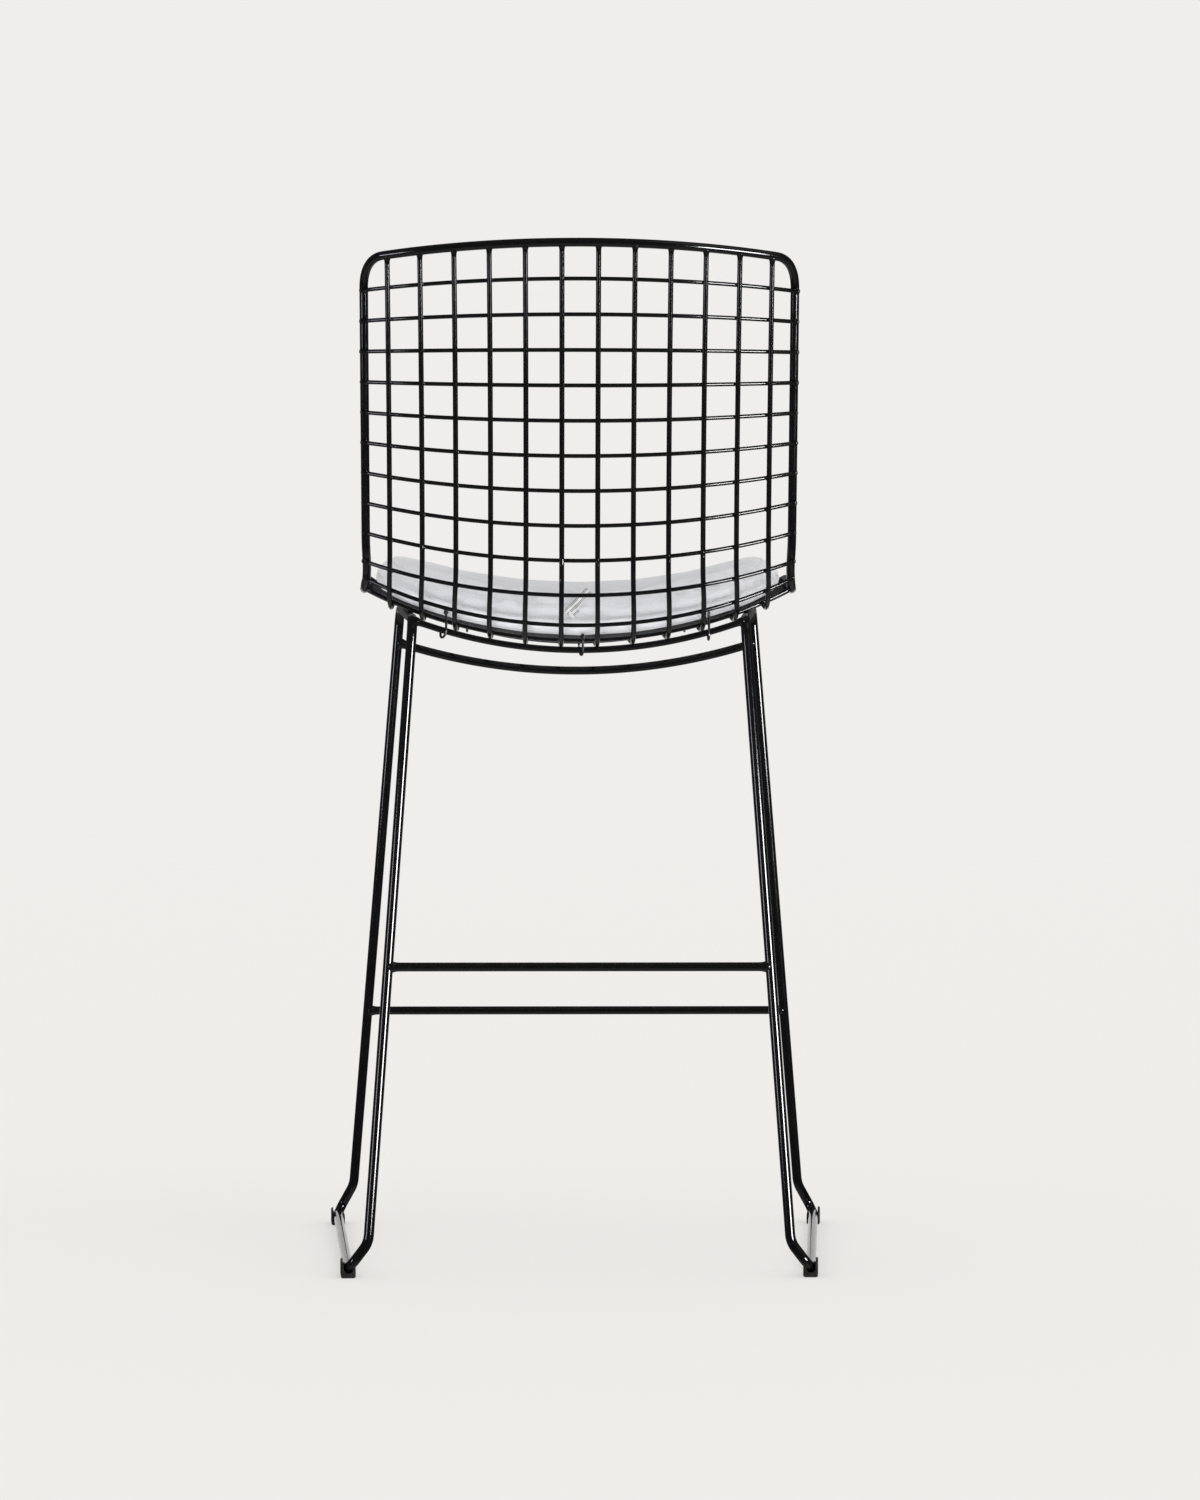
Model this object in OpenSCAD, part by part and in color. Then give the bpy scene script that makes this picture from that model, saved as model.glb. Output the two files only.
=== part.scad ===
// Wire counter stool: a dished wire shell, two bent side frames on glides, a footrest and a padded seat.
// Millimetres. +Z is up, the sitter faces -Y and +X is the sitter's left.

/* [Shell] */
// Height of the top rod's middle above the floor
top_z = 997; // [960:1:1030]
// Height of the seat mesh above the floor where it would meet the back, on the centre line
seat_z = 616; // [600:1:630]
// How far the middle of the seat mesh climbs from the back to the front
seat_rise = 18; // [0:1:40]
// Depth of the seat mesh on the centre line, from the back to the front rod
seat_depth = 390; // [350:1:420]
// How far the top of the back leans behind the foot of the back
back_lean = 80; // [50:1:100]
// Width of the back between the ends of its cross wires
back_w = 428; // [400:1:450]
// Width of the seat at its front, between the ends of its cross wires
front_w = 450; // [430:1:480]
// How far the sides of the back wrap forward
back_wrap = 60; // [40:1:75]
// How much higher the seat's sides stand than its middle, at the back
side_rise = 50; // [35:1:58]
// How much higher the front corners stand than the middle of the front rod
corner_rise = 64; // [45:1:74]
// Radius of the bend between back and seat
bend_r = 58; // [50:1:65]
// Radius of the rounded top corners
top_corner_r = 28; // [20:1:34]
// Radius of the rounded front corners
front_corner_r = 36; // [24:1:42]

/* [Wire] */
// Diameter of the rod around the edge of the shell
rim_d = 8.5; // [7:0.1:10]
// Diameter of the upright wires
upright_d = 5; // [4:0.1:5.4]
// Diameter of the cross wires
cross_d = 4; // [3:0.1:4.6]
// Spacing of the upright wires, measured along a cross wire
upright_pitch = 34.6; // [32:0.1:35]
// Spacing of the cross wires down the middle of the back
cross_pitch = 34.3; // [33:0.1:35]

/* [Base] */
// Diameter of the side frames' rod
leg_d = 10; // [9:0.1:12]
// Diameter of the footrest, the stretcher and the front bearer
bar_d = 8.8; // [7:0.1:9.5]
// Diameter of the rear bearer
bearer_d = 6.4; // [5.5:0.1:7]
// Height of the footrest's middle
footrest_z = 231; // [180:1:300]
// Height of the rear stretcher's middle
stretcher_z = 300; // [200:1:400]
// Length of each runner between its corners
runner_len = 424; // [400:1:460]
// Distance between the runners at the back
rear_track = 448; // [430:1:470]
// Distance between the runners at the front
front_track = 517; // [500:1:540]

/* [Glides] */
// Length of a glide along the runner
glide_len = 28; // [20:1:36]
// Width of a glide
glide_w = 14.4; // [13:0.1:17]
// Thickness of a glide under the rod
glide_floor = 4.5; // [3:0.1:6]

/* [Pad] */
// Thickness of the pad in its middle
pad_mid_t = 51; // [40:1:56]
// Thickness of the pad near its edge
pad_edge_t = 33; // [26:1:44]
// Width of the pad as a share of the seat's width
pad_share = 0.99; // [0.85:0.01:1]
// Thickness of the pad's cloth cover
cover_t = 2; // [1.5:0.1:3]

/* [Hidden] */

$fn = 48;
black = "#141416";
cloth = "#d9dadb";
steel = "#9a9c9f";
plastic = "#1c1c1d";

uprights = 12;
back_rows = 10;
bend_rows = 2;
seat_rows = 9;
rows = back_rows + bend_rows + seat_rows;
front_row = rows + 1;

rim_r = rim_d / 2;
upright_r = upright_d / 2;
cross_r = cross_d / 2;
leg_r = leg_d / 2;
bar_r = bar_d / 2;
bearer_r = bearer_d / 2;
// How deep one welded rod sinks into the next
weld = 0.5;

// Profile of the shell's middle, as [y, z] corners before its bend is rounded
foot_y = 185;
mid_foot = [foot_y, seat_z];
mid_top = [foot_y + back_lean, top_z];
mid_front = [foot_y - seat_depth, seat_z + seat_rise];
// Profile of the shell's edge
edge_top = [mid_top[0] - back_wrap, top_z - 9];
edge_foot = [foot_y - 42, seat_z + side_rise];
edge_front = [mid_front[0] + 13, mid_front[1] + corner_rise];
edge_pitch = 29.7;
edge_bend_pitch = 22;
mid_len = bent_len(mid_top, mid_foot, mid_front, bend_r);
edge_len = bent_len(edge_top, edge_foot, edge_front, bend_r);

// The rim is in line with the uprights at the top and front, inside the cross wires beside the back,
// and level with their ends beside the seat
rim_end_off = -upright_r;
rim_back_off = cross_d + rim_r - weld;
rim_seat_off = 1;

// Corners of the left side frame's centre line, before they are rounded
runner_z = glide_floor + leg_r;
rear_top = [164, 150, seat_z + 25];
rear_kick = [rear_track / 2 - 19, runner_len / 2 - 5, 34];
rear_foot = [rear_track / 2, runner_len / 2, runner_z];
front_foot = [front_track / 2, -runner_len / 2, runner_z];
front_kick = [front_track / 2 - 18, 9 - runner_len / 2, 42];
front_top = [188, -150, seat_z + 47];
frame_path = [rear_top, rear_kick, rear_foot, front_foot, front_kick, front_top];
frame_bends = [18, 25, 12, 12, 30, 18];

// The bearers are arcs between the side frames
rear_bearer_y = 146;
rear_bearer_end = [rear_top[0], seat_z + 24];
rear_bearer_mid = seat_z - 5.2;
front_bearer_z = seat_z + 11;
front_bearer_end = [on_leg(front_top, front_kick, front_bearer_z)[0], front_bearer_z];
front_bearer_y = on_leg(front_top, front_kick, front_bearer_z)[1];
front_bearer_mid = seat_z - 19;

// The pad lies on the cross wires
pad_rear_row = 11.5;
pad_front_row = 22;
pad_gap = 0.3;
pad_off = cross_d + pad_gap;
pad_sides = 56;
pad_square = 0.42;

hook_wire_r = 1.2;
hook_eye_r = 2.6;
hook_tip = 6;

// The whole stool is moved so that the origin lies under the middle of its outline
rear_y = mid_top[0] + rim_r + upright_r * unit(mid_top - mid_foot)[1];
front_y = bend_front(rear_foot, front_foot, front_kick, frame_bends[3]) - leg_r;
shift_y = -(rear_y + front_y) / 2;

function upright_name(k) = str("upright_wire_", k < 10 ? "0" : "", k);
function cross_name(k) = str("cross_wire_", k < 10 ? "0" : "", k);
function unit(v) = v / norm(v);
function mix(a, b, t) = a + (b - a) * t;
function ease(t) = let (c = min(1, max(0, t))) c * c * (3 - 2 * c);
function flat3(p) = [0, p[0], p[1]];

// A path from a to c by way of b, with its corner at b rounded
function turn_at(a, b, c) = acos(unit(b - a) * unit(c - b));
function setback(a, b, c, r) = r * tan(turn_at(a, b, c) / 2);
function arc_len(a, b, c, r) = r * turn_at(a, b, c) * PI / 180;
function bent_len(a, b, c, r) = norm(b - a) + norm(c - b) - 2 * setback(a, b, c, r) + arc_len(a, b, c, r);
function bent_point(a, b, c, r, s) =
    let (
        u = unit(b - a),
        v = unit(c - b),
        side = unit(v - (u * v) * u),
        straight = norm(b - a) - setback(a, b, c, r),
        arc = arc_len(a, b, c, r),
        angle = (s - straight) / r * 180 / PI
    )
    s < straight ? a + u * s
    : s < straight + arc ? a + u * (straight + r * sin(angle)) + side * r * (1 - cos(angle))
    : b + v * (setback(a, b, c, r) + s - straight - arc);
// How far towards -Y such a rounded corner reaches
function bend_front(a, b, c, r) =
    let (u = unit(b - a), v = unit(c - b), side = unit(v - (u * v) * u))
    (b - u * setback(a, b, c, r) + side * r)[1] - r * norm([side[1], u[1]]);

// Distance along a profile at which a row meets it
function row_s(i, pitch, bend_pitch, total) =
    let (bend_s = back_rows * pitch, seat_s = bend_s + bend_rows * bend_pitch)
    i <= back_rows ? i * pitch
    : i <= back_rows + bend_rows ? bend_s + (i - back_rows) * bend_pitch
    : seat_s + (i - back_rows - bend_rows) * (total - seat_s) / (seat_rows + 1);
function mid_at(i) =
    bent_point(mid_top, mid_foot, mid_front, bend_r, row_s(i, cross_pitch, cross_pitch, mid_len));
function edge_at(i) =
    bent_point(edge_top, edge_foot, edge_front, bend_r, row_s(i, edge_pitch, edge_bend_pitch, edge_len));
function half_w(i) = mix(back_w, front_w, ease((i - back_rows) / (front_row - back_rows))) / 2;

// Each row of the shell is an arc through its middle and its two ends
function row_dir(i) = unit(flat3(edge_at(i) - mid_at(i)));
function row_sag(i) = norm(edge_at(i) - mid_at(i));
function row_r(i) = (pow(half_w(i), 2) + pow(row_sag(i), 2)) / (2 * row_sag(i));
function row_angle(i) = asin(half_w(i) / row_r(i));
function row_half_len(i) = row_r(i) * row_angle(i) * PI / 180;
function skin(i, u) =
    let (r = row_r(i), a = u * row_angle(i))
    flat3(mid_at(i)) + row_dir(i) * r * (1 - cos(a)) + [r * sin(a), 0, 0];
function skin_normal(i, u) =
    let (e = 0.02)
    unit(cross(skin(i + e, u) - skin(i - e, u), skin(i, u + e) - skin(i, u - e)));
function on_skin(i, u, off) = skin(i, u) + off * skin_normal(i, u);

// Where a leg's centre line passes a height
function on_leg(top, foot, z) = mix(top, foot, (top[2] - z) / (top[2] - foot[2]));

// A round tube swept along a path, with a normal at each point that its first corner follows
module tube(path, normals, r, sides, closed = false) {
    n = len(path);
    rings = [
        for (k = [0:n - 1])
            let (
                before = path[closed ? (k + n - 1) % n : max(k - 1, 0)],
                after = path[closed ? (k + 1) % n : min(k + 1, n - 1)],
                t = unit(after - before),
                a = unit(normals[k] - (normals[k] * t) * t),
                b = cross(t, a)
            )
            for (j = [0:sides - 1]) path[k] + r * (cos(j * 360 / sides) * a + sin(j * 360 / sides) * b)
    ];
    walls = [
        for (k = [0:n - (closed ? 1 : 2)])
            for (j = [0:sides - 1])
                let (
                    k2 = (k + 1) % n,
                    j2 = (j + 1) % sides,
                    p = k * sides + j,
                    q = k * sides + j2,
                    s = k2 * sides + j2,
                    t = k2 * sides + j
                )
                each [[p, t, q], [q, t, s]]
    ];
    ends = closed ? [] : [[for (j = [0:sides - 1]) j], [for (j = [sides - 1:-1:0]) (n - 1) * sides + j]];
    polyhedron(points = rings, faces = concat(walls, ends), convexity = 8);
}

// Puts a shape drawn on the local axes x and y at a place
module place(at, x, y) {
    z = cross(x, y);
    multmatrix([
        [x[0], y[0], z[0], at[0]],
        [x[1], y[1], z[1], at[1]],
        [x[2], y[2], z[2], at[2]]
    ])
        children();
}

// A straight rod between two points
module rod(p, q, r) {
    d = q - p;
    translate(p)
        rotate([0, acos(d[2] / norm(d)), atan2(d[1], d[0])])
            cylinder(r = r, h = norm(d));
}

// An arc of rod around a point, from the local x axis towards y
module rod_arc(at, x, y, arc_r, angle, r) {
    place(at, x, y)
        rotate_extrude(angle = angle, $fn = arc_r > 100 ? 240 : 72)
            translate([arc_r, 0])
                circle(r = r, $fn = 32);
}

// A rod that goes round a closed path with rounded corners. Its straight lengths are a hair thinner than
// its bends and run a little way into them, so that they join as solids.
module rod_loop(path, bends, r) {
    hair = 0.02;
    bite = 0.3;
    n = len(path);
    for (k = [0:n - 1]) {
        a = path[(k + n - 1) % n];
        b = path[k];
        c = path[(k + 1) % n];
        d = path[(k + 2) % n];
        u = unit(b - a);
        v = unit(c - b);
        side = unit(v - (u * v) * u);
        cut = setback(a, b, c, bends[k]);
        rod_arc(b - u * cut + side * bends[k], -side, u, bends[k], turn_at(a, b, c), r);
        rod(b + v * (cut - bite), c - v * (setback(b, c, d, bends[(k + 1) % n]) - bite), r - hair);
    }
}

// A rod bowed down between [x, z] and its mirror image, in the plane of one y
module bowed_rod(end, mid_z, y, r) {
    sag = end[1] - mid_z;
    arc_r = (pow(end[0], 2) + pow(sag, 2)) / (2 * sag);
    angle = asin(end[0] / arc_r);
    start = [-sin(angle), 0, -cos(angle)];
    rod_arc([0, y, mid_z + arc_r], start, [cos(angle), 0, -sin(angle)], arc_r, 2 * angle, r);
}

module stool() {
    translate([0, shift_y, 0])
        children();
}

// The rod around the shell's edge, as [row, across, offset] points from the top's middle to the front's
module shell_rim() {
    steps = 7;
    top_u = 1 - top_corner_r / row_half_len(0);
    front_u = 1 - front_corner_r / row_half_len(front_row);
    top_i = top_corner_r / edge_pitch;
    front_i = front_corner_r * (seat_rows + 1) / (edge_len - row_s(back_rows + bend_rows, edge_pitch,
        edge_bend_pitch, edge_len));
    half = concat(
        [for (k = [0:8]) [0, top_u * k / 8, rim_end_off]],
        [for (k = [1:steps]) let (a = 90 * k / steps)
            [top_i * (1 - cos(a)), mix(1, top_u, 1 - sin(a)), mix(rim_end_off, rim_back_off, ease(k / steps))]],
        [for (k = [1:36]) let (i = mix(top_i, front_row - front_i, k / 37))
            [i, 1, mix(rim_back_off, rim_seat_off, ease((i - back_rows) / 4))]],
        [for (k = [0:steps]) let (a = 90 * k / steps)
            [front_row - front_i * (1 - sin(a)), mix(1, front_u, 1 - cos(a)),
                mix(rim_seat_off, rim_end_off, ease(k / steps))]],
        [for (k = [7:-1:0]) [front_row, front_u * k / 8, rim_end_off]]
    );
    other = [for (k = [len(half) - 2:-1:1]) [half[k][0], -half[k][1], half[k][2]]];
    path = concat(half, other);
    color(black)
        stool()
            tube(
                [for (p = path) on_skin(p[0], p[1], p[2])],
                [for (p = path) skin_normal(p[0], p[1])],
                rim_r, 10, true
            );
}

// Upright wires run down the outside of the back and on under the seat
module upright_wire(k) {
    u = (k - (uprights + 1) / 2) * upright_pitch / row_half_len(back_rows / 2);
    stations = [each [0:9], each [9.5:0.5:13], each [14:front_row]];
    color(black)
        stool()
            tube(
                [for (i = stations) on_skin(i, u, -upright_r)],
                [for (i = stations) skin_normal(i, u)],
                upright_r, 8
            );
}

// Cross wires lie inside the uprights, in true arcs
module cross_wire(k) {
    dir = row_dir(k);
    angle = row_angle(k);
    off = cross_r / (dir * skin_normal(k, 0));
    x = -dir * cos(angle) - [sin(angle), 0, 0];
    y = dir * -sin(angle) + [cos(angle), 0, 0];
    color(black)
        stool()
            rod_arc(flat3(mid_at(k)) + dir * row_r(k), x, y, row_r(k) - off, 2 * angle, cross_r);
}

module left_side_frame() {
    color(black)
        stool()
            rod_loop(frame_path, frame_bends, leg_r);
}

module right_side_frame() {
    mirror([1, 0, 0])
        left_side_frame();
}

module rear_bearer() {
    color(black)
        stool()
            bowed_rod(rear_bearer_end, rear_bearer_mid, rear_bearer_y, bearer_r);
}

module front_bearer() {
    color(black)
        stool()
            bowed_rod(front_bearer_end, front_bearer_mid, front_bearer_y, bar_r);
}

// A straight bar between the two legs, at one height
module leg_bar(top, foot, z) {
    end = on_leg(top, foot, z);
    color(black)
        stool()
            rod([-end[0], end[1], z], end, bar_r);
}

module rear_stretcher() {
    leg_bar(rear_top, rear_kick, stretcher_z);
}

module footrest_bar() {
    leg_bar(front_top, front_kick, footrest_z);
}

// A plastic shoe with a groove for the left runner, from a corner of the frame, whose outer wall is taller
module glide(corner, along, kick) {
    groove_r = leg_r + 0.05;
    x = cross([0, 0, 1], along);
    start = [corner[0], corner[1], 0] + 2 * along;
    color(plastic)
        stool()
            difference() {
                place(start, x, [0, 0, 1])
                    linear_extrude(height = glide_len)
                        difference() {
                            glide_outline(sign(x[0]), runner_z + leg_r + 1.5, runner_z + 1);
                            translate([0, runner_z])
                                circle(r = groove_r);
                            translate([-groove_r, runner_z])
                                square([2 * groove_r, 20]);
                        }
                rod(corner, kick, groove_r);
            }
}

// The shoe's section, with its outer wall on the side given as 1 or -1
module glide_outline(outer_side, outer_h, inner_h) {
    round_r = 2;
    half = glide_w / 2;
    translate([-half + round_r, 0])
        square([glide_w - 2 * round_r, round_r]);
    for (side = [-1, 1]) {
        translate([side * (half - round_r), round_r])
            circle(r = round_r);
        translate([side > 0 ? 0 : -half, round_r])
            square([half, (side == outer_side ? outer_h : inner_h) - round_r]);
    }
}

module rear_left_glide() {
    glide(rear_foot, unit(front_foot - rear_foot), rear_kick);
}

module front_left_glide() {
    glide(front_foot, unit(rear_foot - front_foot), front_kick);
}

module rear_right_glide() {
    mirror([1, 0, 0])
        rear_left_glide();
}

module front_right_glide() {
    mirror([1, 0, 0])
        front_left_glide();
}

// A closed shape over the seat, from a profile of [reach, height, inset] points:
// reach is the share of the outline, height the share of the thickness, inset a distance in from the cover
module pad_shape(profile) {
    pad_mid_row = (pad_rear_row + pad_front_row) / 2;
    pad_half_rows = (pad_front_row - pad_rear_row) / 2;
    inner = [for (k = [1:len(profile) - 2]) profile[k]];
    ring_points = [
        for (p = inner)
            for (j = [0:pad_sides - 1])
                let (
                    a = 360 * j / pad_sides,
                    reach = p[0] - p[2] / 205,
                    x = sign(cos(a)) * pow(abs(cos(a)), pad_square) * reach,
                    y = sign(sin(a)) * pow(abs(sin(a)), pad_square) * reach
                )
                pad_point(pad_mid_row + pad_half_rows * y, pad_share * x, p)
    ];
    first = pad_point(pad_mid_row, 0, profile[0]);
    last = pad_point(pad_mid_row, 0, profile[len(profile) - 1]);
    points = concat(ring_points, [first, last]);
    n = len(inner);
    faces = concat(
        [for (j = [0:pad_sides - 1]) [n * pad_sides, (j + 1) % pad_sides, j]],
        [
            for (k = [0:n - 2])
                for (j = [0:pad_sides - 1])
                    let (p = k * pad_sides + j, q = k * pad_sides + (j + 1) % pad_sides)
                    each [[p, q, p + pad_sides], [q, q + pad_sides, p + pad_sides]]
        ],
        [for (j = [0:pad_sides - 1]) [n * pad_sides + 1, (n - 1) * pad_sides + j,
            (n - 1) * pad_sides + (j + 1) % pad_sides]]
    );
    polyhedron(points = points, faces = faces, convexity = 6);
}

function pad_point(i, u, p) =
    let (
        thick = mix(pad_mid_t, pad_edge_t, p[0] * p[0]),
        height = mix(p[2], thick - p[2], p[1])
    )
    on_skin(i, u, pad_off + height);

// Half of the pad's section, from the middle of its underside out and over to the middle of its top
pad_base = [[0, 0], [0.4, 0], [0.75, 0], [0.93, 0], [0.985, 0.12], [1, 0.3]];
pad_top = [[1, 0.55], [0.985, 0.8], [0.94, 0.95], [0.84, 1], [0.6, 1], [0.3, 1], [0, 1]];

function inset(list, t) = [for (p = list) [p[0], p[1], t]];
function flip(list) = [for (k = [len(list) - 1:-1:0]) list[k]];

module pad_foam() {
    color("#efe9c8")
        stool()
            pad_shape(inset(concat(pad_base, pad_top), cover_t));
}

module pad_cover_top() {
    color(cloth)
        stool()
            pad_shape(concat(inset(flip(pad_top), cover_t), [[1, 0.4, cover_t], [1, 0.4, 0]], inset(pad_top, 0)));
}

module pad_cover_base() {
    color(cloth)
        stool()
            pad_shape(concat(inset(pad_base, 0), [[1, 0.4, 0], [1, 0.4, cover_t]], inset(flip(pad_base), cover_t)));
}

// A strap end that lies on the pad's rear edge, slanting down towards the middle hook
module pad_strap() {
    slant = 37;
    tilt = 38;
    at = on_skin(pad_rear_row, -0.005, pad_off + pad_edge_t);
    color(cloth)
        stool()
            translate(at - [0, 0.5, 0])
                rotate([tilt, 0, 0])
                    rotate([0, -slant, 0])
                        cube([13, 1.2, 38], center = true);
}

// A wire hook on a rod: an eye under the pad, a shank down behind the rod, a bend under it and a short tip.
// spin turns the hook about its shank and lean tips its eye towards -Y. reach is the shank's length above the
// middle of the rod, and drop is how far the middle of the bend hangs below it.
module pad_hook(rod_at, rod_r, spin, lean, reach, drop) {
    hair = 0.02;
    bite = 0.3;
    bend_r = (rod_r + hook_wire_r + 0.2) / abs(cos(spin));
    shank = reach + drop;
    color(steel)
        stool()
            translate(rod_at)
                rotate([lean, 0, 0]) rotate([0, 0, spin]) translate([0, 0, -drop]) {
                    rotate([90, 0, 90])
                        rotate_extrude(angle = -180)
                            translate([bend_r, 0])
                                circle(r = hook_wire_r, $fn = 24);
                    translate([0, bend_r, -bite])
                        cylinder(r = hook_wire_r - hair, h = shank + bite, $fn = 24);
                    translate([0, -bend_r, -bite])
                        cylinder(r = hook_wire_r - hair, h = hook_tip + bite, $fn = 24);
                    translate([0, bend_r, shank + hook_eye_r])
                        rotate([90, 0, 90])
                            rotate_extrude()
                                translate([hook_eye_r, 0])
                                    circle(r = hook_wire_r, $fn = 24);
                }
}

function rear_bearer_z(x) =
    let (
        sag = rear_bearer_end[1] - rear_bearer_mid,
        arc_r = (pow(rear_bearer_end[0], 2) + sag * sag) / (2 * sag)
    )
    rear_bearer_mid + arc_r - sqrt(arc_r * arc_r - x * x);

module rear_hook(x, spin, lean, reach, drop) {
    pad_hook([x, rear_bearer_y, rear_bearer_z(x)], bearer_r, spin, lean, reach, drop);
}

module rear_left_hook() {
    rear_hook(134, 32, 26, 16.2, 2);
}

module rear_middle_hook() {
    rear_hook(-2, 20, -15, 11.4, 0);
}

module rear_right_hook() {
    rear_hook(-128, 4, 24, 14.4, 3);
}

module front_hook(u) {
    pad_hook(on_skin(front_row, u, rim_end_off), rim_r, 180, -40, 6.8, 2);
}

module front_left_hook() {
    front_hook(0.5);
}

module front_right_hook() {
    front_hook(-0.5);
}

shell_rim();
for (k = [1:12]) upright_wire(k);
for (k = [1:21]) cross_wire(k);
left_side_frame();
right_side_frame();
rear_bearer();
front_bearer();
rear_stretcher();
footrest_bar();
rear_left_glide();
rear_right_glide();
front_left_glide();
front_right_glide();
pad_foam();
pad_cover_top();
pad_cover_base();
pad_strap();
rear_left_hook();
rear_middle_hook();
rear_right_hook();
front_left_hook();
front_right_hook();
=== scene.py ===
"""Looks of the wire counter stool: round rods and welds, a sewn pad, hooks and glides.

Lengths are in millimetres up to the point where a mesh is made, and metres in the scene.
"""

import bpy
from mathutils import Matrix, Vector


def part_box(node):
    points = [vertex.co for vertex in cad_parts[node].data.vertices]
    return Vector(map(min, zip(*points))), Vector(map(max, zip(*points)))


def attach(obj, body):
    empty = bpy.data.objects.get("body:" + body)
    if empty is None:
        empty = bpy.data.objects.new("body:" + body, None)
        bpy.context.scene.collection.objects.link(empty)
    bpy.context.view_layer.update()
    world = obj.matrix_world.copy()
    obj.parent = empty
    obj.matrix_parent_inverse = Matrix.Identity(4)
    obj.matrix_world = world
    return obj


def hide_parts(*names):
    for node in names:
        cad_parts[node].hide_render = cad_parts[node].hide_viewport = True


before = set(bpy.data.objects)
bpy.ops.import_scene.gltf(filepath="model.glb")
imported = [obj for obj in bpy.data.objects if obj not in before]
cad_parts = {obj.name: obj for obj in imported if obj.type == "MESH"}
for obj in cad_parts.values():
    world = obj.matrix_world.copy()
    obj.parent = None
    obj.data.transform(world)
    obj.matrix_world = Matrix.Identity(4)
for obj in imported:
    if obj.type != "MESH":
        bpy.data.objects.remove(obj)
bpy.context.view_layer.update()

import math
import random

import bmesh
import bpy
import numpy as np
from mathutils import Vector, noise
from mathutils.bvhtree import BVHTree
from mathutils.kdtree import KDTree

MM = 0.001

# ---------------------------------------------------------------- driving dimensions of the frame, in mm

TOP_Z = 997  # middle of the top rod
SEAT_Z = 616  # seat mesh, where it would meet the back
SEAT_RISE = 18
SEAT_DEPTH = 390
BACK_LEAN = 80
BACK_W, FRONT_W = 428, 450
BACK_WRAP = 60  # how far the back's sides wrap forward
SIDE_RISE = 50
CORNER_RISE = 64
BEND_R = 58
TOP_CORNER_R, FRONT_CORNER_R = 28, 36
FOOT_Y = 185

RIM_R, UPRIGHT_R, CROSS_R = 4.25, 2.5, 2.0
LEG_R, BAR_R, BEARER_R = 5.0, 4.4, 3.2
UPRIGHTS = 12
UPRIGHT_PITCH, CROSS_PITCH = 34.6, 34.3
EDGE_PITCH, EDGE_BEND_PITCH = 29.7, 22
BACK_ROWS, BEND_ROWS, SEAT_ROWS = 10, 2, 9
ROWS = BACK_ROWS + BEND_ROWS + SEAT_ROWS
FRONT_ROW = ROWS + 1
WELD = 0.5

FOOTREST_Z, STRETCHER_Z = 231, 300
RUNNER_LEN, REAR_TRACK, FRONT_TRACK = 424, 448, 517
GLIDE_LEN, GLIDE_W, GLIDE_FLOOR = 28, 14.4, 4.5
RUNNER_Z = GLIDE_FLOOR + LEG_R

PAD_REAR_ROW, PAD_FRONT_ROW = 11.5, 22
PAD_MID_T, PAD_EDGE_T = 51, 33
PAD_SHARE = 0.99
PAD_SQUARE = 0.42  # power that squares the pad's outline off
PAD_OFF = 2 * CROSS_R + 0.3

REAR_BEARER_Y = 146
# The origin lies under the middle of the stool's outline, so everything is shifted along Y as in the frame
SHIFT_Y = sum(corner[1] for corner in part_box("rear_bearer")) / 2 / MM - REAR_BEARER_Y


# ---------------------------------------------------------------- the shell's surface

def unit(v):
    v = np.asarray(v, float)
    return v / np.linalg.norm(v)


def mix(a, b, t):
    return a + (b - a) * t


def ease(t):
    c = min(1.0, max(0.0, t))
    return c * c * (3 - 2 * c)


class Bend:
    """A path in a plane from a to c by way of b, with its corner rounded."""

    def __init__(self, a, b, c, r):
        a, b, c = (np.array(p, float) for p in (a, b, c))
        self.a, self.b, self.r = a, b, r
        self.u, self.v = unit(b - a), unit(c - b)
        turn = math.acos(self.u @ self.v)
        self.side = unit(self.v - (self.u @ self.v) * self.u)
        self.cut = r * math.tan(turn / 2)
        self.arc = r * turn
        self.straight = np.linalg.norm(b - a) - self.cut
        self.length = self.straight + self.arc + np.linalg.norm(c - b) - self.cut

    def at(self, s):
        if s < self.straight:
            return self.a + self.u * s
        if s < self.straight + self.arc:
            angle = (s - self.straight) / self.r
            along = self.straight + self.r * math.sin(angle)
            return self.a + self.u * along + self.side * self.r * (1 - math.cos(angle))
        return self.b + self.v * (self.cut + s - self.straight - self.arc)


MID_FOOT = (FOOT_Y, SEAT_Z)
MID_TOP = (FOOT_Y + BACK_LEAN, TOP_Z)
MID_FRONT = (FOOT_Y - SEAT_DEPTH, SEAT_Z + SEAT_RISE)
EDGE_TOP = (MID_TOP[0] - BACK_WRAP, TOP_Z - 9)
EDGE_FOOT = (FOOT_Y - 42, SEAT_Z + SIDE_RISE)
EDGE_FRONT = (MID_FRONT[0] + 13, MID_FRONT[1] + CORNER_RISE)
MIDDLE = Bend(MID_TOP, MID_FOOT, MID_FRONT, BEND_R)
EDGE = Bend(EDGE_TOP, EDGE_FOOT, EDGE_FRONT, BEND_R)


def row_s(i, pitch, bend_pitch, total):
    """Distance along a profile at which a row of the shell meets it."""
    bend_s = BACK_ROWS * pitch
    seat_s = bend_s + BEND_ROWS * bend_pitch
    if i <= BACK_ROWS:
        return i * pitch
    if i <= BACK_ROWS + BEND_ROWS:
        return bend_s + (i - BACK_ROWS) * bend_pitch
    return seat_s + (i - BACK_ROWS - BEND_ROWS) * (total - seat_s) / (SEAT_ROWS + 1)


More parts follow.
